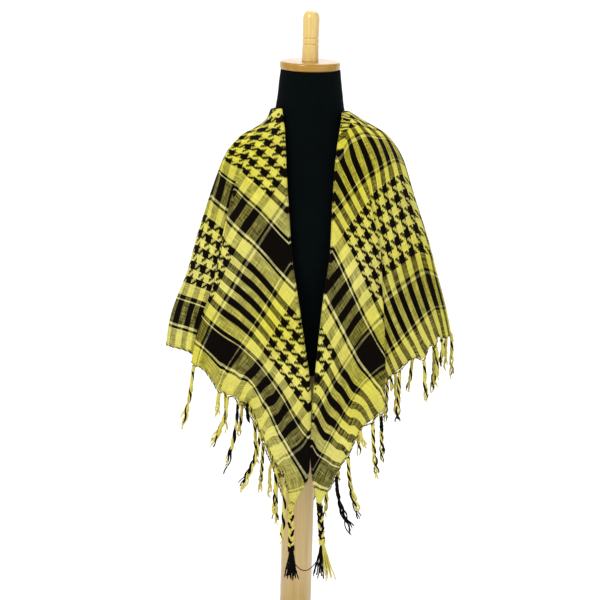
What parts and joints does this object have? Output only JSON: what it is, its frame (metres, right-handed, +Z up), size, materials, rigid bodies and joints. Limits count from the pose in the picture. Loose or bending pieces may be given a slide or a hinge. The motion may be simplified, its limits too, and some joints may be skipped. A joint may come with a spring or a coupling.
{
  "type": "keffiyeh square scarf on a limbless dress form",
  "caption": "Square check scarf with tasselled hems, folded to a double triangle and draped as a shawl over a black limbless torso form on a turned wooden stand.",
  "frame": {"origin": "on the floor, at the middle of the underside of the stand's base", "axes": "+Z up along the pole; the front of the form and the opening of the shawl face -Y; +X is to the right of a viewer in front"},
  "size_m": [0.4319, 0.32, 1.0723],
  "materials": {
    "cotton_check": "loosely woven yarn-dyed cotton, yellow and black check",
    "cotton_check_inside": "the same cotton, seen from inside",
    "cotton_yarn": "twisted cotton yarn, yellow and black",
    "black_jersey": "matte knitted jersey, stretched smooth",
    "honey_wood": "turned and lacquered",
    "pale_wood": "turned, matte lacquer"
  },
  "bodies": {
    "root": {"form_base": "pale_wood", "form_pole": "pale_wood", "form_torso": "black_jersey", "form_neck_disc": "honey_wood", "form_peg": "honey_wood", "scarf_left_flap": "cotton_check", "under_left_flap": "cotton_check_inside", "scarf_left_shoulder": "cotton_check", "under_left_shoulder": "cotton_check_inside", "scarf_back_left": "cotton_check", "under_back_left": "cotton_check_inside", "scarf_back_right": "cotton_check", "under_back_right": "cotton_check_inside", "scarf_right_shoulder": "cotton_check", "under_right_shoulder": "cotton_check_inside", "scarf_right_flap": "cotton_check", "under_right_flap": "cotton_check_inside", "fringe_left_front": "cotton_yarn", "fringe_left_back": "cotton_yarn", "fringe_right_back": "cotton_yarn", "fringe_right_side": "cotton_yarn", "fringe_right_front": "cotton_yarn", "plait_left_front": "cotton_yarn", "plait_right_front": "cotton_yarn", "plait_back_left": "cotton_yarn", "plait_back_right": "cotton_yarn"}
  },
  "joints": []
}
